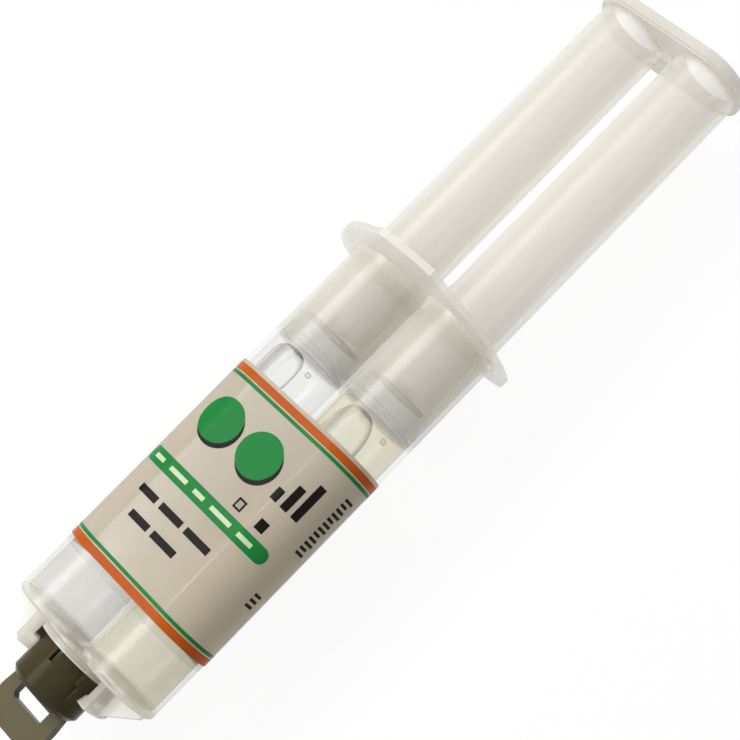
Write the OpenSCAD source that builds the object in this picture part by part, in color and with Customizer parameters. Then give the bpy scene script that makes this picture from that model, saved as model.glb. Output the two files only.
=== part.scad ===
// Twin chamber epoxy syringe, lying along X with its outlets towards -X.
// The two chambers lie side by side along Y and the printed side faces +Z.
// The origin is the middle of the whole syringe, on the line midway between the chambers.

/* [Chambers] */
// Outside diameter of each round chamber
chamber_od = 17.4; // [14:0.1:17.8]
// Wall thickness of each chamber
chamber_wall = 0.9; // [0.6:0.05:1.4]
// Distance between the two chamber axes
chamber_pitch = 18.2; // [17.8:0.1:20]
// Length from the shoulder to the middle of the finger flange's rear face
barrel_len = 91; // [84:0.1:110]
// Thickness of the wall that closes each chamber at the front
front_wall = 1.3; // [0.8:0.1:2.5]
// Chamfer round the front edge of each chamber
shoulder_chamfer = 0.5; // [0.2:0.1:1.2]
// Thickness of the web that ties the chambers together
web_t = 1.6; // [0.8:0.1:4]
// Chamfer at the mouth of each chamber
mouth_chamfer = 0.4; // [0.1:0.1:0.6]

/* [Finger flange] */
// Diameter of the round finger flange
flange_d = 41.8; // [40:0.1:50]
// Thickness of the finger flange
flange_t = 1.4; // [1.2:0.05:2.6]
// Radius that the finger flange is arched to, its two side edges lying towards the front
flange_arch_r = 115; // [70:1:300]
// Width of the flat finger tabs above and below
tab_w = 13; // [10:0.1:20]
// Height of each finger tab above the chamber axes
tab_h = 21.3; // [21.1:0.1:26]
// Width of the sloping corner at each side of a finger tab
tab_corner = 2.4; // [1:0.1:3]
// Cone that blends each chamber into the finger flange
flange_fillet = 0.8; // [0.3:0.1:1.5]

/* [Bayonet socket] */
// Outside radius of the two claws
claw_r = 11.2; // [11:0.1:13]
// How far the claws reach in front of the shoulder
claw_len = 6.1; // [5.4:0.1:8]
// Angle that each claw covers
claw_arc = 72; // [60:1:80]
// Turn of each claw's middle away from the plane of the chambers
claw_skew = 9.4; // [6:0.1:12]
// Chamfer on the outer edge of the claws
claw_chamfer = 0.5; // [0.2:0.1:1]
// Chamfer on the inner edge of the claws
lip_chamfer = 0.3; // [0.1:0.1:0.6]
// Thickness of the round base between the claws
base_t = 1.4; // [1:0.1:2]
// Width of the relief groove behind the base
relief_w = 0.4; // [0.2:0.1:0.6]
// Depth of the relief groove behind the base
relief_depth = 0.7; // [0.3:0.1:1.2]
// Thickness of the side gussets that brace the claws
gusset_t = 1.5; // [1:0.1:2.5]
// Inset of the gussets from the outer sides of the chambers
gusset_inset = 0.5; // [0.3:0.1:3]
// Straight land at the foot of each gusset
gusset_land = 0.5; // [0.3:0.1:2]
// How far each gusset stands proud of its claw's outer side at the front
gusset_foot = 0.3; // [0.2:0.1:0.8]
// Height of the gussets' middle above the chamber axes, towards the printed side
gusset_rise = 0.8; // [0:0.1:1.5]

/* [Outlets] */
// Distance between the two outlet bores
outlet_pitch = 6.8; // [6.4:0.1:7]
// Outside diameter of each outlet tube
outlet_od = 4.6; // [4.2:0.1:5]
// Bore of each outlet tube
outlet_bore = 2.8; // [2:0.1:3.2]
// How far the outlet tubes reach in front of the shoulder
outlet_len = 5.2; // [4:0.1:5.6]
// Thickness of the wall that joins the two outlet tubes
outlet_web_t = 1.2; // [0.8:0.1:2]

/* [Bayonet cap] */
// Outside radius of the cap
cap_r = 7.55; // [7.2:0.05:7.9]
// Wall thickness of the cap
cap_wall = 1.35; // [1:0.05:1.4]
// Length of the cap from its rim to its closed end
cap_len = 9; // [8.6:0.1:12]
// Thickness of the cap's closed end
cap_end_t = 2.2; // [1.5:0.1:2.4]
// Height of the chamfer round the cap's closed end
cap_chamfer_h = 0.9; // [0.4:0.1:1.5]
// Width of the chamfer round the cap's closed end
cap_chamfer_w = 0.8; // [0.4:0.1:1.5]
// Outside radius of the two lugs
lug_r = 9.15; // [8.8:0.05:9.4]
// Angle that each lug covers
lug_arc = 90; // [80:1:92]
// Thickness of the thick lug
thick_lug_t = 2.5; // [2.2:0.1:2.8]
// Thickness of the thin lug
thin_lug_t = 2; // [1.6:0.1:2.1]
// Height of the sloping lead at the front end of each lug
lug_lead_h = 0.6; // [0.2:0.1:0.9]
// Angle that the sloping lead covers
lug_lead_arc = 14; // [8:1:24]
// Angle that each stop rib covers
rib_arc = 10.8; // [7:0.1:14]
// Length of each stop rib below its lug
rib_len = 4.1; // [2:0.1:5]
// Inset of each stop rib from the lug's outer face
rib_inset = 0.15; // [0:0.05:0.5]
// Width of the two slots in the cap's rim
rim_slot_w = 1.3; // [0.8:0.1:2]
// Depth of the two slots along the cap
rim_slot_len = 2.5; // [1.5:0.1:3.2]

/* [Cap paddle] */
// Width of the paddle
paddle_w = 13.9; // [12:0.1:14.6]
// Width that the paddle loses at its root, on both sides together
paddle_waist = 0.7; // [0:0.1:1.4]
// Length of the stretch over which the paddle widens
paddle_flare_len = 3.2; // [2:0.1:4]
// Thickness of the paddle
paddle_t = 2.2; // [1.8:0.1:3.2]
// How far the paddle reaches from the cap's closed end
paddle_len = 9.1; // [8:0.1:12]
// Radius of the paddle's end corners
paddle_corner = 1.6; // [0.6:0.1:3]
// Width of the window
window_w = 8.1; // [6:0.1:9]
// Length of the window along the cap
window_len = 2.65; // [2:0.1:3.5]
// Distance from the cap's closed end to the window
window_root = 1.1; // [0.8:0.1:2]
// Size of the window's cut corner
window_corner = 0.75; // [0.3:0.05:1.2]

/* [Plug insert] */
// Thickness of the insert's disc
insert_t = 1.2; // [0.8:0.1:1.3]
// Radius of the boss on the insert's back
insert_boss_r = 2; // [1:0.1:3.5]
// Depth that the stoppers reach into the outlets
stopper_len = 3.6; // [2:0.1:4.4]
// Rounded height of each stopper's tip
stopper_tip = 0.6; // [0.3:0.1:0.9]

/* [Plunger] */
// Outside diameter of the two plunger rods
rod_od = 14.8; // [12:0.1:14.8]
// Wall thickness of the plunger rods
rod_wall = 1.3; // [0.9:0.1:2]
// Thickness of the wall that closes each rod at the piston
rod_end_t = 2; // [1.2:0.1:3]
// Free travel between the thumb plate and the finger flange
plunger_gap = 65.4; // [65:0.1:66.8]
// Width of the thumb plate across the rods
thumb_w = 34.2; // [33.4:0.1:40]
// Depth of the thumb plate
thumb_d = 18; // [17.4:0.1:26]
// Thickness of the thumb plate
thumb_t = 2.4; // [1.6:0.1:4]
// Corner radius of the thumb plate
thumb_corner = 8; // [3:0.1:8.6]
// Chamfer round the front edge of the thumb plate
thumb_chamfer = 0.4; // [0.1:0.1:0.7]
// Width of the raised rim round the thumb plate's rear face
thumb_rim_w = 1.3; // [0.8:0.1:1.4]
// Depth of the thumb plate's rear face below its raised rim
thumb_rim_h = 0.5; // [0.2:0.1:0.8]
// Thickness of the bridge between the rods at the thumb plate
bridge_t = 3; // [1.6:0.1:3.2]
// Length of the bridge along the rods
bridge_len = 2.2; // [2.2:0.1:6]
// Length of each rod in front of the finger flange, at rest
rod_inside = 17.9; // [17.2:0.1:20]

/* [Pistons] */
// Length of the piston's sealing head
piston_head_len = 3.6; // [3:0.1:4.5]
// Length of each sealing lip
lip_len = 1.1; // [0.8:0.1:1.3]
// Depth of the groove between the sealing lips
lip_groove = 0.8; // [0.4:0.1:1.5]
// Radius of the piston's neck
neck_r = 5; // [3.8:0.1:6]
// Length of the piston's neck
neck_len = 3; // [2:0.1:3.4]
// Radius of the snap stud that holds the piston to its rod
stud_r = 2.4; // [1.8:0.1:2.8]
// Radius of the snap stud's head
stud_head_r = 3; // [2.8:0.1:3.6]
// Thickness of the snap stud's head
stud_head_t = 1; // [0.6:0.1:1.6]
// Depth of the hollow in the piston's front face
piston_dish = 0.5; // [0.1:0.1:0.8]

/* [Label] */
// Thickness of the printed film
label_t = 0.15; // [0.1:0.05:0.3]
// Height of the label along the chambers
label_len = 46.3; // [30:0.1:60]
// Distance from the shoulder to the label
label_from_front = 12.1; // [8:0.1:20]

/* [Resins] */
// Radius of the air bubble under the resin's piston
bubble_r = 4.4; // [2:0.1:5]
// Radius of the air bubble under the hardener's piston
long_bubble_r = 4.6; // [2:0.1:5]
// Length of the straight part of the hardener's bubble
long_bubble_len = 11; // [4:0.5:20]
// Distance from each piston to its bubble
bubble_from_piston = 2.4; // [0.8:0.1:8]

/* [Hidden] */
$fn = 96;

// Overrun of every cut
over = 0.5;
// Gap between the cap's lugs or body and the claws round them
turn_gap = 0.2;
// Gap between faces that meet across a joint, along the axis
end_gap = 0.1;
// Gap between a sealing lip and its chamber
seal_gap = 0.08;
// Gap between pieces that sit together without moving
seat_gap = 0.05;

bore_r = chamber_od / 2 - chamber_wall;
rod_r = rod_od / 2;
chamber_sides = [-1, 1];

// Stations along the axis, from the shoulder, positive towards the thumb plate
rim_x = -base_t - end_gap;
cap_end_x = rim_x - cap_len;
cap_inside_x = cap_end_x + cap_end_t;
plate_front_x = barrel_len + plunger_gap;
rod_front_x = barrel_len - rod_inside;
piston_front_x = rod_front_x - seat_gap - neck_len - piston_head_len;
label_end_x = label_from_front + label_len;

// Middle of the whole syringe, which becomes the origin
middle_x = (cap_end_x - paddle_len + plate_front_x + thumb_t) / 2;

base_r = lug_r;
groove_r = lug_r + turn_gap;
lip_r = cap_r + turn_gap;
cap_bore_r = cap_r - cap_wall;
insert_r = cap_bore_r - turn_gap;
cone_h = flange_fillet + flange_t;

// Turns a shape drawn from the shoulder along Z so that it lies along X round the origin
module lay_down() {
    translate([-middle_x, 0, 0]) rotate([90, 0, 90]) children();
}

// Repeats a shape at both chamber axes
module at_chambers() {
    for (side = chamber_sides) translate([side * chamber_pitch / 2, 0, 0]) children();
}

// Repeats a shape at both outlets
module at_outlets() {
    for (side = chamber_sides) translate([side * outlet_pitch / 2, 0, 0]) children();
}

// Round bar between two stations
module bar(r, from, to) {
    translate([0, 0, from]) cylinder(r = r, h = to - from);
}

// Ring sector with the given outline of radius and station
module sector(outline, middle, arc) {
    rotate([0, 0, middle - arc / 2]) rotate_extrude(angle = arc) polygon(outline);
}

// Outline of two round ends joined by straight sides
module stadium(r, pitch) {
    for (side = chamber_sides) translate([side * pitch / 2, 0]) circle(r = r);
    square([pitch, 2 * r], center = true);
}

// Rectangle with four round corners
module rounded_rect(w, d, r) {
    square([w, d - 2 * r], center = true);
    square([w - 2 * r, d], center = true);
    for (i = [-1, 1]) for (j = [-1, 1])
        translate([i * (w / 2 - r), j * (d / 2 - r)]) circle(r = r);
}

// Outer skin of the chambers with chamfered shoulders, and the web between them
module chamber_skin() {
    at_chambers() {
        cylinder(h = shoulder_chamfer, r1 = chamber_od / 2 - shoulder_chamfer, r2 = chamber_od / 2);
        bar(chamber_od / 2, shoulder_chamfer, barrel_len - flange_t);
    }
    translate([0, 0, barrel_len / 2])
        cube([chamber_pitch - chamber_od + chamber_wall, web_t, barrel_len - flange_t], center = true);
}

// Outline of the finger flange, a disc with a flat tab above and below
module flange_outline() {
    circle(d = flange_d);
    polygon([for (i = [1, -1]) each [
        [i * (tab_w / 2 + tab_corner), i * (tab_h - tab_corner)],
        [i * tab_w / 2, i * tab_h],
        [-i * tab_w / 2, i * tab_h],
        [-i * (tab_w / 2 + tab_corner), i * (tab_h - tab_corner)]]]);
}

// Arched finger flange, with a cone round each chamber in front of it
module finger_flange() {
    arch_drop = flange_arch_r - sqrt(pow(flange_arch_r, 2) - pow(flange_d / 2, 2));
    intersection() {
        translate([0, 0, barrel_len - flange_arch_r]) rotate([90, 0, 0]) difference() {
            cylinder(r = flange_arch_r, h = 2 * tab_h + over, center = true, $fn = 360);
            cylinder(r = flange_arch_r - flange_t, h = 2 * tab_h + 2 * over, center = true, $fn = 360);
        }
        translate([0, 0, barrel_len - arch_drop - 2 * flange_t])
            linear_extrude(arch_drop + 2 * flange_t + over) flange_outline();
    }
    at_chambers() translate([0, 0, barrel_len - flange_t - cone_h])
        cylinder(h = cone_h, r1 = chamber_od / 2, r2 = chamber_od / 2 + flange_fillet);
}

// One claw, hooked over the lug that turns under it
module claw(middle, lug_t) {
    hook_x = rim_x - lug_t - end_gap;
    sector([
        [base_r - base_t, 0],
        [claw_r, 0],
        [claw_r, claw_chamfer - claw_len],
        [claw_r - claw_chamfer, -claw_len],
        [lip_r + lip_chamfer, -claw_len],
        [lip_r, lip_chamfer - claw_len],
        [lip_r, hook_x],
        [groove_r, hook_x],
        [groove_r, -base_t],
        [base_r - base_t, -base_t / 2]], middle, claw_arc);
}

// Triangular brace from the shoulder to a claw, drawn on the positive side
module gusset() {
    outer = chamber_pitch / 2 + chamber_od / 2 - gusset_inset;
    translate([0, gusset_rise + gusset_t / 2, 0]) rotate([90, 0, 0]) linear_extrude(gusset_t) polygon([
        [groove_r + turn_gap, over],
        [outer, over],
        [outer, -gusset_land],
        [claw_r + gusset_foot, -claw_len + 2 * claw_chamfer],
        [groove_r + turn_gap, -claw_len + 2 * claw_chamfer]]);
}

// Base between the claws, with its relief groove
module socket_base() {
    difference() {
        bar(base_r, -base_t, over);
        difference() {
            bar(claw_r, -relief_w, 0);
            bar(base_r - relief_depth, -relief_w - over, over);
        }
    }
    claw(180 + claw_skew, thick_lug_t);
    claw(claw_skew, thin_lug_t);
    gusset();
    mirror([1, 0, 0]) gusset();
}

// Outlet tubes and the wall that joins them
module outlets() {
    at_outlets() bar(outlet_od / 2, -outlet_len, over);
    translate([0, 0, -outlet_len / 2])
        cube([outlet_pitch, outlet_web_t, outlet_len], center = true);
}

module barrel() {
    color([0.86, 0.85, 0.78]) lay_down() difference() {
        union() {
            chamber_skin();
            finger_flange();
            socket_base();
            outlets();
        }
        at_chambers() {
            bar(bore_r, front_wall, barrel_len + over);
            translate([0, 0, barrel_len - mouth_chamfer])
                cylinder(h = mouth_chamfer + over, r1 = bore_r, r2 = bore_r + mouth_chamfer + over);
        }
        at_outlets() bar(outlet_bore / 2, -outlet_len - over, front_wall + over);
    }
}

// Two rods tied to the thumb plate, hollow from the thumb end
module plunger() {
    hole_r = stud_r + seat_gap;
    color([0.84, 0.83, 0.76]) lay_down() difference() {
        union() {
            at_chambers() bar(rod_r, rod_front_x, plate_front_x + thumb_t / 2);
            thumb_plate();
            bridge();
        }
        at_chambers() {
            bar(rod_r - rod_wall, rod_front_x + rod_end_t, plate_front_x + thumb_t + over);
            bar(hole_r, rod_front_x - over, rod_front_x + rod_end_t + over);
        }
    }
}

// Thumb plate with a chamfered front edge and a raised rim behind
module thumb_plate() {
    plate_rear_x = plate_front_x + thumb_t;
    inset = 2 * thumb_chamfer;
    translate([0, 0, plate_front_x])
        linear_extrude(thumb_t - thumb_rim_h) rounded_rect(thumb_w - inset, thumb_d - inset, thumb_corner - thumb_chamfer);
    difference() {
        translate([0, 0, plate_front_x + thumb_chamfer])
            linear_extrude(thumb_t - thumb_chamfer) rounded_rect(thumb_w, thumb_d, thumb_corner);
        translate([0, 0, plate_rear_x - thumb_rim_h])
            linear_extrude(thumb_rim_h + over) rounded_rect(
                thumb_w - 2 * thumb_rim_w, thumb_d - 2 * thumb_rim_w, thumb_corner - thumb_rim_w);
    }
}

// Bridge between the rods with a round arch under it
module bridge() {
    span = chamber_pitch - rod_od;
    difference() {
        translate([0, 0, plate_front_x - bridge_len / 2])
            cube([span + rod_wall, bridge_t, bridge_len], center = true);
        translate([0, 0, plate_front_x - bridge_len])
            rotate([90, 0, 0]) cylinder(d = span, h = bridge_t + over, center = true);
    }
}

// Piston with two sealing lips, a neck and a snap stud, drawn round its chamber's axis
module piston() {
    seal_r = bore_r - seal_gap;
    groove_in_r = seal_r - lip_groove;
    front = piston_front_x;
    head_rear = front + piston_head_len;
    neck_rear = head_rear + neck_len;
    stud_rear = rod_front_x + rod_end_t + seat_gap;
    rotate_extrude() polygon([
        [0, front + piston_dish],
        [seal_r - lip_len, front + piston_dish],
        [seal_r - lip_len / 2, front],
        [seal_r, front],
        [seal_r, front + lip_len],
        [groove_in_r, front + lip_len],
        [groove_in_r, head_rear - lip_len],
        [seal_r, head_rear - lip_len],
        [seal_r, head_rear],
        [neck_r, head_rear],
        [neck_r, neck_rear],
        [stud_r, neck_rear],
        [stud_r, stud_rear],
        [stud_head_r, stud_rear],
        [stud_r, stud_rear + stud_head_t],
        [0, stud_rear + stud_head_t]]);
}

module resin_piston() {
    color([0.80, 0.79, 0.72]) lay_down()
        translate([chamber_pitch / 2, 0, 0]) piston();
}

module hardener_piston() {
    color([0.72, 0.70, 0.60]) lay_down()
        translate([-chamber_pitch / 2, 0, 0]) piston();
}

// One lug, still without its sloping lead
module lug(middle, lug_t) {
    root_r = cap_r - cap_wall / 2;
    sector([
        [root_r, rim_x],
        [lug_r, rim_x],
        [lug_r, rim_x - lug_t],
        [root_r, rim_x - lug_t]], middle, lug_arc);
}

// Cut outside the cap's wall that slopes a lug's end, which helps it under its claw
module lug_lead(middle, lug_t) {
    difference() {
        rotate([0, 0, middle + lug_arc / 2 - lug_lead_arc])
            translate([0, 0, rim_x - lug_t])
            rotate([atan(lug_lead_h / (lug_r * sin(lug_lead_arc))), 0, 0])
            translate([0, -over, -lug_t])
            cube([lug_r + over, lug_r, lug_t]);
        bar(cap_r, cap_end_x, rim_x + over);
    }
}

// Wedge under a lug that stops against the end of the claw
module stop_rib(middle, lug_t) {
    root_r = cap_r - cap_wall / 2;
    outer_r = lug_r - rib_inset;
    lug_front_x = rim_x - lug_t;
    slope = (rib_len - end_gap) / (outer_r - cap_r);
    claw_end = middle - claw_arc / 2 + claw_skew;
    rib_gap_arc = asin(turn_gap / lug_r);
    sector([
        [root_r, lug_front_x + end_gap],
        [outer_r, lug_front_x + end_gap],
        [outer_r, lug_front_x - end_gap],
        [root_r, lug_front_x - end_gap - slope * (outer_r - root_r)]], claw_end - rib_gap_arc - rib_arc / 2, rib_arc);
}

// Flat paddle with a window, drawn in the plane of the chambers
module paddle() {
    root_x = cap_end_x + cap_chamfer_h;
    tip_x = cap_end_x - paddle_len;
    half = paddle_w / 2;
    root_half = half - paddle_waist / 2;
    window_top = cap_end_x - window_root;
    window_bottom = window_top - window_len;
    rotate([90, 0, 0]) translate([0, 0, -paddle_t / 2]) linear_extrude(paddle_t) difference() {
        union() {
            polygon([
                [-root_half, root_x],
                [-root_half, cap_end_x],
                [-half, cap_end_x - paddle_flare_len],
                [-half, tip_x + paddle_corner],
                [half, tip_x + paddle_corner],
                [half, cap_end_x - paddle_flare_len],
                [root_half, cap_end_x],
                [root_half, root_x]]);
            translate([0, tip_x + paddle_corner])
                square([paddle_w - 2 * paddle_corner, 2 * paddle_corner], center = true);
            for (side = [-1, 1])
                translate([side * (half - paddle_corner), tip_x + paddle_corner]) circle(r = paddle_corner);
        }
        polygon([
            [-window_w / 2, window_top],
            [window_w / 2, window_top],
            [window_w / 2, window_bottom + window_corner],
            [window_w / 2 - window_corner, window_bottom],
            [-window_w / 2, window_bottom]]);
    }
}

// Outer cap with keyed lugs, stop ribs, rim slots and the paddle
module bayonet_cap() {
    color([0.34, 0.32, 0.28]) lay_down() {
        difference() {
            union() {
                bar(cap_r, cap_end_x + cap_chamfer_h, rim_x);
                translate([0, 0, cap_end_x])
                    cylinder(h = cap_chamfer_h, r1 = cap_r - cap_chamfer_w, r2 = cap_r);
                lug(180, thick_lug_t);
                lug(0, thin_lug_t);
                stop_rib(180, thick_lug_t);
                stop_rib(0, thin_lug_t);
                paddle();
            }
            lug_lead(180, thick_lug_t);
            lug_lead(0, thin_lug_t);
            bar(cap_bore_r, cap_inside_x, rim_x + over);
            translate([0, 0, rim_x - rim_slot_len / 2])
                cube([rim_slot_w, 2 * cap_r + over, rim_slot_len + over], center = true);
        }
    }
}

// Disc that stays still inside the turning cap and plugs both outlets
module plug_insert() {
    disc_x = -outlet_len - seat_gap;
    stopper_r = outlet_bore / 2 - seat_gap;
    color([0.88, 0.87, 0.82]) lay_down() {
        bar(insert_r, disc_x - insert_t, disc_x);
        bar(insert_boss_r, cap_inside_x + end_gap, disc_x - insert_t / 2);
        at_outlets() {
            bar(stopper_r, disc_x - insert_t / 2, disc_x + stopper_len - stopper_tip);
            translate([0, 0, disc_x + stopper_len - stopper_tip])
                cylinder(h = stopper_tip, r1 = stopper_r, r2 = stopper_r - stopper_tip);
        }
    }
}

// Film wrapped round both chambers, bridging the valley between them
module label() {
    inner_r = chamber_od / 2 + seat_gap;
    color([0.80, 0.79, 0.73]) lay_down() translate([0, 0, label_from_front])
        linear_extrude(label_len) difference() {
            stadium(inner_r + label_t, chamber_pitch);
            stadium(inner_r, chamber_pitch);
        }
}

// Column of resin with the air bubble that floats against the upper wall
module column(side, r, straight) {
    fill_r = bore_r - seat_gap;
    rear = piston_front_x - end_gap;
    bubble_x = rear - bubble_from_piston - r;
    translate([side * chamber_pitch / 2, 0, 0]) difference() {
        bar(fill_r, front_wall + seat_gap, rear);
        translate([0, fill_r - r - chamber_wall, 0]) {
            bar(r, bubble_x - straight, bubble_x);
            for (x = [bubble_x - straight, bubble_x]) translate([0, 0, x]) sphere(r = r);
        }
    }
}

module resin() {
    color([0.93, 0.93, 0.90, 0.5]) lay_down() column(1, bubble_r, seat_gap);
}

module hardener() {
    color([0.92, 0.90, 0.80, 0.5]) lay_down() column(-1, long_bubble_r, long_bubble_len);
}

barrel();
plunger();
resin_piston();
hardener_piston();
bayonet_cap();
plug_insert();
label();
resin();
hardener();
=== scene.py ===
"""Looks of the twin chamber epoxy syringe: milky mouldings, a printed film, fills and a dark cap."""

import math

import bmesh
import bpy
from mathutils import Matrix, Vector


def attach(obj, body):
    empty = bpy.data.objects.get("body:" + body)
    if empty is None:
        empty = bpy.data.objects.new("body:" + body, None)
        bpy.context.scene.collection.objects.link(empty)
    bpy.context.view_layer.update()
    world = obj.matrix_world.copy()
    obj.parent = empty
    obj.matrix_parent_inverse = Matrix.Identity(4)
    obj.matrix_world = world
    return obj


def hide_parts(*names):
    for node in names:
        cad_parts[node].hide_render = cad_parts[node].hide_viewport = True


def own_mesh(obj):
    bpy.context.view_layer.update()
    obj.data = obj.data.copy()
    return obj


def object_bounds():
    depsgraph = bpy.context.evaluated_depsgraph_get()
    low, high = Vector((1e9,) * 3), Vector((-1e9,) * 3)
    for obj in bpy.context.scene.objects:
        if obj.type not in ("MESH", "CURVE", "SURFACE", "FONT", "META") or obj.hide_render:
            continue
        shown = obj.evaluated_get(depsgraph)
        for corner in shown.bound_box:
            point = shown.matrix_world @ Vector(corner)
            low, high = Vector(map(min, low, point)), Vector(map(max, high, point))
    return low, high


MM = 0.001

# Sizes of the CAD frame, in millimetres. A station is a distance along +X from the barrel's shoulder.
MIDDLE_X = 69.6
CHAMBER_R = 8.7
BORE_R = 7.8
PITCH = 18.2
FILL_FRONT = 1.35
FILL_REAR = 66.35
PISTON_FRONT = 66.45
ROD_FRONT = 73.1
FILM_GAP = 0.05
FILM_THICK = 0.15
FILM_R = CHAMBER_R + FILM_GAP + FILM_THICK

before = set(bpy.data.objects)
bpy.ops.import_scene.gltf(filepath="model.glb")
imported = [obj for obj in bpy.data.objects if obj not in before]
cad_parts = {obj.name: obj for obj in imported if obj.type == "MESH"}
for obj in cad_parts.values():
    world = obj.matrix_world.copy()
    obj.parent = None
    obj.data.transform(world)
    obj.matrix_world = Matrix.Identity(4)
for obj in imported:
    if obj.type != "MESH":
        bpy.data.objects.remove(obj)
cad_box = [list(corner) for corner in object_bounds()]


def scaled(colour, gain):
    """Colour made lighter or darker by a gain, at most 1 in each channel."""
    return tuple(min(1, c * gain) for c in colour)


class Nodes:
    """A small helper that adds and links shader nodes."""

    def __init__(self, name):
        self.material = bpy.data.materials.new(name)
        self.material.use_nodes = True
        self.tree = self.material.node_tree
        self.tree.nodes.clear()
        self.output = self.add("ShaderNodeOutputMaterial")

    def add(self, kind, **values):
        node = self.tree.nodes.new(kind)
        for key, value in values.items():
            setattr(node, key, value)
        return node

    def link(self, source, target):
        self.tree.links.new(source, target)

    def principled(self, colour, rough, **sockets):
        node = self.add("ShaderNodeBsdfPrincipled")
        node.inputs["Base Color"].default_value = (*colour, 1)
        node.inputs["Roughness"].default_value = rough
        for key, value in sockets.items():
            node.inputs[key].default_value = value
        return node

    def position(self):
        return self.add("ShaderNodeTexCoord").outputs["Object"]

    def noise(self, scale, detail, stretch=None):
        vector = self.position()
        if stretch:
            mapping = self.add("ShaderNodeMapping")
            mapping.inputs["Scale"].default_value = stretch
            self.link(vector, mapping.inputs["Vector"])
            vector = mapping.outputs["Vector"]
        node = self.add("ShaderNodeTexNoise")
        node.inputs["Scale"].default_value = scale
        node.inputs["Detail"].default_value = detail
        self.link(vector, node.inputs["Vector"])
        return node.outputs["Fac"]

    def remap(self, value, low, high, to_low, to_high):
        node = self.add("ShaderNodeMapRange")
        node.inputs["From Min"].default_value = low
        node.inputs["From Max"].default_value = high
        node.inputs["To Min"].default_value = to_low
        node.inputs["To Max"].default_value = to_high
        self.link(value, node.inputs["Value"])
        return node.outputs["Result"]

    def vary(self, noise, low, high):
        """Value that wanders between low and high with the noise, which lies mostly from 0.3 to 0.7."""
        return self.remap(noise, 0.3, 0.7, low, high)

    def facing(self, blend):
        """Value that rises from 0 to 1 as the face turns away."""
        node = self.add("ShaderNodeLayerWeight")
        node.inputs["Blend"].default_value = blend
        return node.outputs["Facing"]

    def mix(self, share, first, second):
        """Mixed shader: share is a number or a socket."""
        node = self.add("ShaderNodeMixShader")
        if isinstance(share, (int, float)):
            node.inputs["Fac"].default_value = share
        else:
            self.link(share, node.inputs["Fac"])
        self.link(first, node.inputs[1])
        self.link(second, node.inputs[2])
        return node.outputs["Shader"]

    def blend(self, share, first, second):
        """Mixed colour: first and second are colours or sockets."""
        node = self.add("ShaderNodeMix", data_type="RGBA")
        self.link(share, node.inputs["Factor"])
        for key, colour in (("A", first), ("B", second)):
            if isinstance(colour, tuple):
                node.inputs[key].default_value = (*colour, 1)
            else:
                self.link(colour, node.inputs[key])
        return node.outputs["Result"]

    def product(self, first, second):
        node = self.add("ShaderNodeMath", operation="MULTIPLY", use_clamp=True)
        self.link(first, node.inputs[0])
        self.link(second, node.inputs[1])
        return node.outputs["Value"]

    def along(self, first, second, low, high):
        """Value that runs from low at the first station to high at the second."""
        split = self.add("ShaderNodeSeparateXYZ")
        self.link(self.position(), split.inputs["Vector"])
        (a, at_a), (b, at_b) = sorted(((first, low), (second, high)))
        return self.remap(split.outputs["X"], (a - MIDDLE_X) * MM, (b - MIDDLE_X) * MM, at_a, at_b)

    def outer_gloss(self, ahead, aslant):
        """Share of gloss on the outer faces only, rising steeply where the face turns away."""
        steep = self.add("ShaderNodeMath", operation="POWER")
        self.link(self.facing(0.5), steep.inputs[0])
        steep.inputs[1].default_value = 5.0
        inside = self.add("ShaderNodeNewGeometry").outputs["Backfacing"]
        return self.product(self.remap(steep.outputs["Value"], 0.0, 1.0, ahead, aslant),
                            self.remap(inside, 0.0, 1.0, 1.0, 0.0))

    def bump(self, height, strength, distance):
        node = self.add("ShaderNodeBump")
        node.inputs["Strength"].default_value = strength
        node.inputs["Distance"].default_value = distance
        self.link(height, node.inputs["Height"])
        return node.outputs["Normal"]


def milky(name, colour, cover, rim_cover, rough, inside, thick, painted_shade=None):
    """A thin translucent moulding: partly clear, cloudier where it is seen at a slant, with gloss on top.

    Cover is the share that isn't clear, and inside is the share of the cover that light shines through.
    Each entry of thick is (station, station, gain): the cover is multiplied by a value that runs
    from 1 at the first station to the gain at the second. Painted shade works alike on the colour:
    it darkens the colour by its gain between its stations, where shade falls on the moulding.
    """
    n = Nodes(name)
    body = n.principled(colour, rough + 0.2, IOR=1.3)
    cloud = n.noise(70, 2, (0.35, 1, 1))
    normal = n.bump(cloud, 0.03, 0.4 * MM)
    n.link(normal, body.inputs["Normal"])
    through = n.add("ShaderNodeBsdfTranslucent")
    through.inputs["Color"].default_value = (*colour, 1)
    # Painted shade: the colour darkens by the gain between the stations given, where shade falls
    if painted_shade:
        first, second, gain = painted_shade
        painted_shade_colour = n.blend(n.along(first, second, 0.0, 1.0), colour, scaled(colour, gain))
        n.link(painted_shade_colour, body.inputs["Base Color"])
        n.link(painted_shade_colour, through.inputs["Color"])
    both = n.mix(inside, body.outputs["BSDF"], through.outputs["BSDF"])
    clear = n.add("ShaderNodeBsdfTransparent")
    veil = n.remap(n.facing(0.35), 0.0, 1.0, cover, rim_cover)
    for first, second, gain in thick:
        veil = n.product(veil, n.along(first, second, 1.0, gain))
    haze = n.mix(n.product(veil, n.vary(cloud, 0.94, 1.06)), clear.outputs["BSDF"], both)
    gloss = n.add("ShaderNodeBsdfGlossy")
    n.link(n.vary(cloud, rough - 0.04, rough + 0.06), gloss.inputs["Roughness"])
    n.link(normal, gloss.inputs["Normal"])
    n.link(n.mix(n.outer_gloss(0.04, 0.55), haze, gloss.outputs["BSDF"]), n.output.inputs["Surface"])
    return n.material


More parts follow.
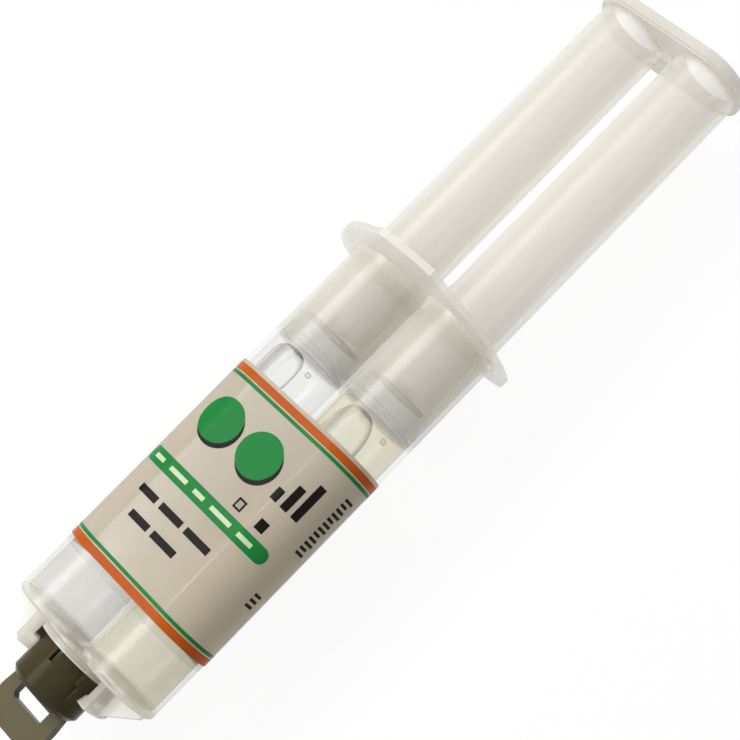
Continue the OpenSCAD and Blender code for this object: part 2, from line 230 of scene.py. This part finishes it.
def solid(name, colour, rough, spread=0.03, grain=300, bump=0.08, IOR=1.5, margin=None, through=0.0,
          painted_light_end=None):
    """A moulded or printed surface with a faint change of tone and gloss.

    It is nearly clear ahead of the margin's station, and the share named through shines from behind.
    The painted light end is (station, station, colour): the tone turns to the colour between the
    stations, a painted lighter end for the lamp's light that end catches.
    """
    n = Nodes(name)
    body = n.principled(colour, rough, IOR=IOR)
    tone = n.noise(grain, 4)
    skin = n.blend(tone, scaled(colour, 1 - spread), scaled(colour, 1 + spread))
    # Painted light: the colour turns lighter between the stations given, where the lamp's light falls
    if painted_light_end:
        first, second, pale = painted_light_end
        skin = n.blend(n.along(first, second, 0.0, 1.0), skin, pale)
    n.link(skin, body.inputs["Base Color"])
    n.link(n.vary(tone, rough - 0.05, rough + 0.05), body.inputs["Roughness"])
    n.link(n.bump(tone, bump, 0.2 * MM), body.inputs["Normal"])
    shown = body.outputs["BSDF"]
    if through:
        behind = n.add("ShaderNodeBsdfTranslucent")
        n.link(skin, behind.inputs["Color"])
        shown = n.mix(through, shown, behind.outputs["BSDF"])
    if margin:
        clear = n.add("ShaderNodeBsdfTransparent")
        shown = n.mix(n.along(margin - 0.05, margin + 0.05, 0.06, 1.0), clear.outputs["BSDF"], shown)
    n.link(shown, n.output.inputs["Surface"])
    return n.material


def ink(name, colour, spread=0.05, IOR=1.15):
    """A colour printed on the film."""
    return solid(name, colour, rough=0.3, spread=spread, grain=200, bump=0.03, IOR=IOR)


def liquid(name, colour, cover, seen_through, rough=0.05):
    """A clear fill or film side, slightly tinted, with more cover where it is seen at a slant."""
    n = Nodes(name)
    body = n.principled(colour, rough, IOR=1.3)
    clear = n.add("ShaderNodeBsdfTransparent")
    clear.inputs["Color"].default_value = (*seen_through, 1)
    veil = n.remap(n.facing(0.3), 0.0, 1.0, cover, cover * 2.5)
    tone = n.vary(n.noise(90, 2, (0.4, 1, 1)), 0.85, 1.15)
    shown = n.mix(n.product(veil, tone), clear.outputs["BSDF"], body.outputs["BSDF"])
    n.link(shown, n.output.inputs["Surface"])
    return n.material


def bubble_painted_shade(name):
    """The boundary of an air bubble: clear in its window, with painted grey shade round it and a thin
    painted dark outline, for the shade that refraction gives at its wall.
    """
    n = Nodes(name)
    # Painted shade: the grey of the band and the dark of the outline stand for the shade refraction gives
    # at the bubble's wall
    band = n.principled((0.40, 0.39, 0.34), 0.4, IOR=1.3)
    edge = n.principled((0.26, 0.25, 0.21), 0.3, IOR=1.3)
    clear = n.add("ShaderNodeBsdfTransparent")
    rim = n.add("ShaderNodeAttribute", attribute_name="rim").outputs["Fac"]
    outline = n.add("ShaderNodeAttribute", attribute_name="outline").outputs["Fac"]
    tone = n.vary(n.noise(120, 2), 0.8, 1.2)
    grey = n.product(n.remap(rim, 0.94, 1.08, 0.0, 0.28), tone)
    line = n.product(n.remap(outline, 0.94, 0.99, 0.0, 0.4), tone)
    around = n.mix(grey, clear.outputs["BSDF"], band.outputs["BSDF"])
    n.link(n.mix(line, around, edge.outputs["BSDF"]), n.output.inputs["Surface"])
    return n.material


# How the cover changes along each moulding: (station, station, gain). The barrel is clearer from the
# label's rear edge to the pistons, cloudy beyond them, and thicker at the flange and at the front wall.
BODY_ZONES = (
    (55.5, 57.5, 0.2),
    (66.0, 68.2, 8.0),
    (87.2, 88.6, 1.3),
    (2.0, 0.8, 3.8),
)
ROD_ZONES = ((155.8, 156.3, 1.8),)
PISTON_ZONES = ((67.2, 67.0, 0.3), (68.5, 68.8, 0.75))
# Painted shade: the rod's colour darkens to 0.87 of itself over the thumb plate, for the shade the plate
# lies in
THUMB_PLATE_PAINTED_SHADE = (155.0, 156.3, 0.87)
# Painted light: the cap's colour turns lighter and browner over the paddle, for the lamp's light the
# paddle catches
PADDLE_PAINTED_LIGHT = (-10.0, -12.0, (0.105, 0.088, 0.042))
FILM_SHOWN_FROM = 13.5

BODY = milky("barrel moulding", (0.87, 0.85, 0.78), cover=0.13, rim_cover=0.34, rough=0.24, inside=0.6,
             thick=BODY_ZONES)
ROD = milky("plunger moulding", (0.89, 0.86, 0.79), cover=0.32, rim_cover=0.54, rough=0.3, inside=0.55,
            thick=ROD_ZONES, painted_shade=THUMB_PLATE_PAINTED_SHADE)
PISTON = milky("piston moulding", (0.62, 0.60, 0.52), cover=0.36, rim_cover=0.5, rough=0.35, inside=0.4,
               thick=PISTON_ZONES)
CAP = solid("cap moulding", (0.048, 0.041, 0.018), rough=0.22, spread=0.10, grain=500, bump=0.15,
            IOR=1.16, painted_light_end=PADDLE_PAINTED_LIGHT)
INSERT = solid("insert moulding", (0.74, 0.73, 0.67), rough=0.4)
FILM = solid("label film", (0.755, 0.68, 0.56), rough=0.1, spread=0.02, grain=120, bump=0.05,
             IOR=1.4, margin=FILM_SHOWN_FROM, through=0.52)
FILM_BACK = liquid("label back", (0.88, 0.87, 0.80), cover=0.05, seen_through=(0.98, 0.98, 0.97),
                   rough=0.3)
ORANGE = ink("orange print", (0.46, 0.09, 0.010), spread=0.04)
GREEN = ink("green print", (0.012, 0.20, 0.04))
BLACK = ink("black print", (0.008, 0.006, 0.006))
WHITE = ink("pale print", (0.55, 0.60, 0.42), spread=0.02, IOR=1.3)
RESIN = liquid("resin", (0.90, 0.88, 0.82), cover=0.03, seen_through=(0.985, 0.985, 0.98))
HARDENER = liquid("hardener", (0.86, 0.82, 0.58), cover=0.10, seen_through=(0.965, 0.945, 0.86))
# Painted shade on the bubbles' walls, a grey band and a dark outline
BUBBLE_PAINTED_SHADE = bubble_painted_shade("bubble wall painted shade")

LOOKS = {
    "barrel": BODY,
    "plunger": ROD,
    "bayonet_cap": CAP,
    "plug_insert": INSERT,
    "label": FILM,
}
for node_name, look in LOOKS.items():
    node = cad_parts[node_name]
    node.data.materials.clear()
    node.data.materials.append(look)

# The film's glued side is clear, so that light passes the film once
GLUED_R = CHAMBER_R + FILM_GAP + FILM_THICK / 3
film_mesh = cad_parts["label"].data
film_mesh.materials.append(FILM_BACK)
for face in film_mesh.polygons:
    _, y, z = face.center
    if math.hypot(max(0, abs(y) - PITCH / 2 * MM), z) < GLUED_R * MM:
        face.material_index = 1


def chamber_point(side, station, radius, angle):
    """Point in a chamber: station and radius in millimetres, angle from straight up."""
    across = side * PITCH / 2 + radius * math.sin(angle)
    return (station - MIDDLE_X) * MM, across * MM, radius * math.cos(angle) * MM


def join_rings(mesh, first, second, count, look_index=0):
    """Adds the faces between two rings of vertices. A ring of one vertex is a pole."""
    for k in range(count):
        corners = [first[k % len(first)], first[(k + 1) % len(first)],
                   second[(k + 1) % len(second)], second[k % len(second)]]
        mesh.faces.new(list(dict.fromkeys(corners))).material_index = look_index


TURN_COUNT = 96


def add_turned(mesh, side, profile):
    """Adds a profile of (station, radius) points, turned about a chamber's axis."""
    rings = []
    for station, radius in profile:
        count = TURN_COUNT if radius else 1
        turns = [math.tau * k / count for k in range(count)]
        rings.append([mesh.verts.new(chamber_point(side, station, radius, a)) for a in turns])
    for first, second in zip(rings, rings[1:]):
        join_rings(mesh, first, second, TURN_COUNT)


PILLOW_ROWS = 48
PILLOW_COUNT = 96
BUBBLE_LOOK = 1

# Powers under 1 fill a pillow's corners, and powers over 2 make its window and its painted outline
# squarer
SPREAD_POWER = 0.75
CORNER_POWER = 0.62
DEPTH_POWER = 0.85
WINDOW_POWER = 3
OUTLINE_POWER = 3.2


def eased(value, power):
    """A sine or cosine made fuller by a power, with its sign kept."""
    return math.copysign(abs(value) ** power, value)


def squareness(x, y, power):
    """1 on a rounded square of half width 1, less inside it."""
    return (abs(x) ** power + abs(y) ** power) ** (1 / power)


def add_pillow(mesh, side, station, angle, long, wide, thick, middle_r, window):
    """Adds a bubble that lies along the chamber's wall, a rounded pillow.

    Long and thick are half sizes in millimetres, wide is a half angle and middle_r its radius.
    The window is (aside along, aside across, half length, half width), in shares of the half sizes;
    it is the clear part of the wall inside the painted grey shade.
    """
    rim = mesh.verts.layers.float["rim"]
    outline = mesh.verts.layers.float["outline"]
    aside_x, aside_y, window_long, window_wide = window
    rings = []
    for i in range(PILLOW_ROWS + 1):
        b = math.pi * (i / PILLOW_ROWS - 0.5)
        ring = []
        for k in range(1 if i in (0, PILLOW_ROWS) else PILLOW_COUNT):
            a = math.tau * k / PILLOW_COUNT
            x = eased(math.cos(b), SPREAD_POWER) * eased(math.cos(a), CORNER_POWER)
            y = eased(math.cos(b), SPREAD_POWER) * eased(math.sin(a), CORNER_POWER)
            z = eased(math.sin(b), DEPTH_POWER)
            place = chamber_point(side, station + long * x, middle_r + thick * z, angle + wide * y)
            vert = mesh.verts.new(place)
            in_window = (x - aside_x) / window_long, (y - aside_y) / window_wide
            # The rim and outline values place the painted grey band and the painted dark outline on the
            # bubble's wall
            vert[rim] = squareness(*in_window, WINDOW_POWER)
            vert[outline] = squareness(x, y, OUTLINE_POWER)
            ring.append(vert)
        rings.append(ring)
    for first, second in zip(rings, rings[1:]):
        join_rings(mesh, second, first, PILLOW_COUNT, BUBBLE_LOOK)


SHARP_FROM = math.radians(35)


def new_piece(mesh, name, looks, body, smooth=True):
    """Turns the built mesh into a piece that rides on a body, with the looks given."""
    data = bpy.data.meshes.new(name)
    mesh.to_mesh(data)
    mesh.free()
    for look in looks:
        data.materials.append(look)
    if smooth:
        for face in data.polygons:
            face.use_smooth = True
        data.set_sharp_from_angle(angle=SHARP_FROM)
    obj = bpy.data.objects.new(name, data)
    bpy.context.scene.collection.objects.link(obj)
    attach(obj, body)
    return obj


def fill(name, node_name, side, look, bubbles):
    """One chamber's contents: a clear column with its bubbles."""
    mesh = bmesh.new()
    for layer in ("rim", "outline"):
        mesh.verts.layers.float.new(layer)
    r = BORE_R - 0.05
    front_round = 0.4
    rear_round = 0.3
    add_turned(mesh, side, [
        (FILL_FRONT, 0),
        (FILL_FRONT, r - front_round),
        (FILL_FRONT + front_round, r),
        (FILL_REAR - rear_round, r),
        (FILL_REAR, r - rear_round),
        (FILL_REAR, 0),
    ])
    bmesh.ops.recalc_face_normals(mesh, faces=mesh.faces[:])
    for bubble in bubbles:
        add_pillow(mesh, side, **bubble)
    obj = new_piece(mesh, name, (look, BUBBLE_PAINTED_SHADE), "syringe")
    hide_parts(node_name)
    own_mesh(obj)


SMALL_WINDOW = (0, 0, 0.5, 0.5)
RESIN_BUBBLES = (
    {"station": 61.3, "angle": 0.24, "long": 4.9, "wide": 0.74, "thick": 2.3, "middle_r": 5.1,
     "window": (-0.08, -0.12, 0.8, 0.78)},
    {"station": 63.9, "angle": -0.72, "long": 0.5, "wide": 0.08, "thick": 0.5, "middle_r": 6.9,
     "window": SMALL_WINDOW},
)
HARDENER_BUBBLES = (
    {"station": 55.2, "angle": 0.2, "long": 11.0, "wide": 0.98, "thick": 2.4, "middle_r": 4.9,
     "window": (-0.04, -0.1, 0.9, 0.8)},
    {"station": 64.2, "angle": -0.98, "long": 0.6, "wide": 0.09, "thick": 0.5, "middle_r": 6.9,
     "window": SMALL_WINDOW},
)
fill("resin_fill", "resin", 1, RESIN, RESIN_BUBBLES)
fill("hardener_fill", "hardener", -1, HARDENER, HARDENER_BUBBLES)


def stopper(name, node_name, side):
    """A rod's stopper: two sealing lips, a groove between them and a neck as wide as the rod."""
    seal_r = BORE_R - 0.08
    groove_r = seal_r - 0.8
    neck_r = 7.1
    front = PISTON_FRONT
    rear = front + 3.6
    neck_rear = ROD_FRONT - 0.05
    dish = 0.5
    corner = 0.1
    slope = 0.2
    front_lip = 1.1
    rear_lip = 1.2
    mesh = bmesh.new()
    add_turned(mesh, side, [
        (front + dish, 0),
        (front + dish, seal_r - 1.1),
        (front, seal_r - 0.55),
        (front + corner, seal_r),
        (front + front_lip, seal_r),
        (front + front_lip + slope, groove_r),
        (rear - rear_lip - slope, groove_r),
        (rear - rear_lip, seal_r),
        (rear - corner, seal_r),
        (rear, seal_r - corner),
        (rear, neck_r),
        (neck_rear - 0.15, neck_r),
        (neck_rear, neck_r - 0.15),
        (neck_rear, 0),
    ])
    bmesh.ops.recalc_face_normals(mesh, faces=mesh.faces[:])
    obj = new_piece(mesh, name, (PISTON,), "plunger")
    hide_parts(node_name)


stopper("resin_stopper", "resin_piston", 1)
stopper("hardener_stopper", "hardener_piston", -1)

# The label's print, in millimetres: s is a station, t runs round the film from the middle of its face.
# The stripes end at the edge, a little short of the film's seam on the far side.
PRINT_LIFT = 0.03
UPPER_LIFT = 0.05
PRINT_STEP = 0.7
SIDE_BAR_HEIGHT = 0.6
EDGE = PITCH + math.pi * FILM_R - 0.6


def on_label(s, t, lift):
    """Point that lies by the lift over the film."""
    r = FILM_R + lift
    half = PITCH / 2
    arc = math.pi * r
    around = 2 * PITCH + 2 * arc
    t = (t + around / 2) % around - around / 2
    side = 1 if t >= 0 else -1
    d = abs(t)
    if d <= half:
        y, z = d, r
    elif d <= half + arc:
        a = (d - half) / r
        y, z = half + r * math.sin(a), r * math.cos(a)
    else:
        y, z = half - (d - half - arc), -r
    return Vector(((s - MIDDLE_X) * MM, -side * y * MM, z * MM))


def print_patch(name, outline, look, lift=PRINT_LIFT):
    """A filled outline in label coordinates, laid on the film and bent with it."""
    mesh = bmesh.new()
    ring = []
    count = len(outline)
    for i in range(count):
        a, b = Vector(outline[i]), Vector(outline[(i + 1) % count])
        parts = max(1, int((b - a).length / PRINT_STEP))
        for k in range(parts):
            ring.append(a.lerp(b, k / parts))
    mesh.faces.new([mesh.verts.new((p.x, p.y, 0)) for p in ring])
    low = min(p.y for p in ring)
    high = max(p.y for p in ring)
    cut = math.floor(low / PRINT_STEP) * PRINT_STEP
    while cut < high:
        if cut > low:
            geom = mesh.faces[:] + mesh.edges[:] + mesh.verts[:]
            bmesh.ops.bisect_plane(mesh, geom=geom, plane_co=(0, cut, 0), plane_no=(0, 1, 0))
        cut += PRINT_STEP
    for vert in mesh.verts:
        vert.co = on_label(vert.co.x, vert.co.y, lift)
    bmesh.ops.triangulate(mesh, faces=mesh.faces[:])
    bmesh.ops.recalc_face_normals(mesh, faces=mesh.faces[:])
    new_piece(mesh, name, (look,), "syringe", smooth=False)


def box_outline(s0, s1, t0, t1):
    return [(s0, t0), (s1, t0), (s1, t1), (s0, t1)]


DISC_SIDES = 36
PILL_END_SIDES = 12


def disc_outline(s, t, r):
    turns = [math.tau * k / DISC_SIDES for k in range(DISC_SIDES)]
    return [(s + r * math.cos(a), t + r * math.sin(a)) for a in turns]


def pill_outline(s0, s1, t0, t1):
    """A band across the label with round ends."""
    r = (s1 - s0) / 2
    mid = (s0 + s1) / 2
    points = []
    for centre, start in ((t1 - r, 0), (t0 + r, math.pi)):
        for k in range(PILL_END_SIDES + 1):
            a = start + math.pi * k / PILL_END_SIDES
            points.append((mid + r * math.cos(a), centre + r * math.sin(a)))
    return points


def bar_row(name, s, height, start, lengths, gap, look, lift=PRINT_LIFT):
    """A row of small plain bars across the label."""
    t = start
    for i, length in enumerate(lengths):
        bar = box_outline(s - height / 2, s + height / 2, t, t + length)
        print_patch(f"{name}_{i + 1}", bar, look, lift)
        t += length + gap


def bar_column(name, first, spacing, start, lengths):
    """A column of small plain bars, one above the other."""
    for i, length in enumerate(lengths):
        s = first + spacing * i
        print_patch(f"{name}_{i + 1}", box_outline(s, s + SIDE_BAR_HEIGHT, start, start + length), BLACK)


# Stripes near the label's two ends, orange outside and green inside: name, station, width and look
STRIPES = (
    ("rear_orange_stripe", 56.9, 1.5, ORANGE),
    ("rear_green_line", 55.5, 0.7, GREEN),
    ("front_orange_stripe", 14.35, 1.65, ORANGE),
    ("front_green_line", 15.8, 0.7, GREEN),
)
for name, middle, width, look in STRIPES:
    print_patch(name, box_outline(middle - width / 2, middle + width / 2, -EDGE, EDGE), look)

# Twin disc motif: two green discs with black shadows, one for each chamber, and three rising bars
DISC_R = 4.6
for i, t in enumerate((-9.0, 1.6)):
    print_patch(f"disc_shadow_{i + 1}", disc_outline(46.3, t + 0.7, DISC_R), BLACK)
    print_patch(f"green_disc_{i + 1}", disc_outline(47.0, t, DISC_R), GREEN, UPPER_LIFT)
for i in range(3):
    rise = 2.6 * i
    print_patch(f"level_bar_{i + 1}", box_outline(43.0, 45.6 + rise, 8.6 + rise, 10.2 + rise), BLACK)

# Green band with round ends, and pale dashes along it
print_patch("green_band", pill_outline(32.9, 36.1, -17.2, 16.4), GREEN)
bar_row("pale_dash", 34.5, 0.9, -14.5, (3.2, 4.6, 2.8, 5.4, 3.6), 1.9, WHITE, UPPER_LIFT)

# A framed square and a full one, and two rows of plain bars
print_patch("square_frame", box_outline(37.3, 39.5, 4.6, 6.6), BLACK)
print_patch("square_middle", box_outline(37.7, 39.1, 5.0, 6.2), FILM, UPPER_LIFT)
print_patch("full_square", box_outline(37.3, 39.5, 10.4, 12.4), BLACK)
bar_row("first_row", 28.5, 1.5, -11.2, (4.6, 5.8, 6.4), 1.1, BLACK)
bar_row("second_row", 23.9, 1.5, -8.9, (5.0, 6.2), 1.1, BLACK)

# Two columns of small plain bars at the film's side
bar_column("side_bar", 39.2, 1.15, 19.4, (2.6, 2.1, 2.8) * 4)
bar_column("low_side_bar", 26.4, 1.2, 19.6, (2.2,) * 3)

camera = bpy.data.objects.new("camera", bpy.data.cameras.new("camera"))
bpy.context.scene.collection.objects.link(camera)
camera.data.sensor_width = 36
camera.data.lens = 76.7
camera.data.clip_start = 0.01
camera.data.clip_end = 10
CAMERA_PLACE = (-0.03102, -0.12187, 0.26468)
CAMERA_TURN = Matrix((
    (0.69559, 0.70879, -0.11733),
    (-0.68354, 0.60264, -0.41183),
    (-0.22119, 0.36666, 0.90368),
))
camera.matrix_world = Matrix.Translation(CAMERA_PLACE) @ CAMERA_TURN.to_4x4()
bpy.context.scene.camera = camera

LAMP_AIM = Vector((0, 0, 0))


def area_lamp(name, place, size, power):
    """A rectangular lamp that points at the syringe's middle."""
    light = bpy.data.lights.new(name, "AREA")
    light.shape = "RECTANGLE"
    light.size, light.size_y = size
    light.energy = power
    obj = bpy.data.objects.new(name, light)
    bpy.context.scene.collection.objects.link(obj)
    obj.location = place
    obj.rotation_euler = (LAMP_AIM - Vector(place)).to_track_quat("-Z", "Y").to_euler()


area_lamp("key lamp", (-0.05, 0.36, 0.54), (0.9, 0.16), 3.5)
area_lamp("fill lamp", (0.35, -0.15, 0.7), (0.4, 0.4), 0.9)
area_lamp("first streak lamp", (0, 0.192, 0.565), (0.9, 0.02), 1.2)
area_lamp("second streak lamp", (0, 0.274, 0.565), (0.9, 0.03), 0.35)


def camera_white(tree, plain, kind, share):
    """Mixes plain light with a white glow that only the camera, glossy and transmission rays see."""
    glow = tree.nodes.new(kind)
    glow.inputs["Color"].default_value = (1, 1, 1, 1)
    glow.inputs["Strength"].default_value = 1.0
    path = tree.nodes.new("ShaderNodeLightPath")
    seen = path.outputs["Is Camera Ray"]
    for ray in ("Is Glossy Ray", "Is Transmission Ray"):
        either = tree.nodes.new("ShaderNodeMath")
        either.operation = "ADD"
        either.use_clamp = True
        tree.links.new(seen, either.inputs[0])
        tree.links.new(path.outputs[ray], either.inputs[1])
        seen = either.outputs["Value"]
    part = tree.nodes.new("ShaderNodeMath")
    part.operation = "MULTIPLY"
    part.inputs[1].default_value = share
    tree.links.new(seen, part.inputs[0])
    both = tree.nodes.new("ShaderNodeMixShader")
    tree.links.new(part.outputs["Value"], both.inputs["Fac"])
    tree.links.new(plain, both.inputs[1])
    tree.links.new(glow.outputs[0], both.inputs[2])
    return both.outputs["Shader"]


# Soft white light from all round, and a white room to the camera
SOFT_LIGHT = 0.22
world = bpy.data.worlds.new("white room")
bpy.context.scene.world = world
world.use_nodes = True
world.node_tree.nodes.clear()
out = world.node_tree.nodes.new("ShaderNodeOutputWorld")
soft = world.node_tree.nodes.new("ShaderNodeBackground")
soft.inputs["Color"].default_value = (1, 1, 1, 1)
soft.inputs["Strength"].default_value = SOFT_LIGHT
room = camera_white(world.node_tree, soft.outputs["Background"], "ShaderNodeBackground", 1.0)
world.node_tree.links.new(room, out.inputs["Surface"])

# Plain pale floor under the flange, white to the camera but for the shadow on it
FLOOR_Z = cad_box[0][2] - 0.2 * MM
FLOOR_HALF = 3.0
FLOOR_GLOW = 0.93
FLOOR_CORNERS = ((-1, -1), (1, -1), (1, 1), (-1, 1))
floor = Nodes("floor")
paper = floor.principled((0.88, 0.88, 0.87), 0.9)
white = camera_white(floor.tree, paper.outputs["BSDF"], "ShaderNodeEmission", FLOOR_GLOW)
floor.link(white, floor.output.inputs["Surface"])
floor_mesh = bpy.data.meshes.new("floor")
corners = [(x * FLOOR_HALF, y * FLOOR_HALF, FLOOR_Z) for x, y in FLOOR_CORNERS]
floor_mesh.from_pydata(corners, [], [(0, 1, 2, 3)])
floor_mesh.materials.append(floor.material)
ground = bpy.data.objects.new("floor", floor_mesh)
bpy.context.scene.collection.objects.link(ground)

bpy.context.scene.view_settings.view_transform = "Standard"
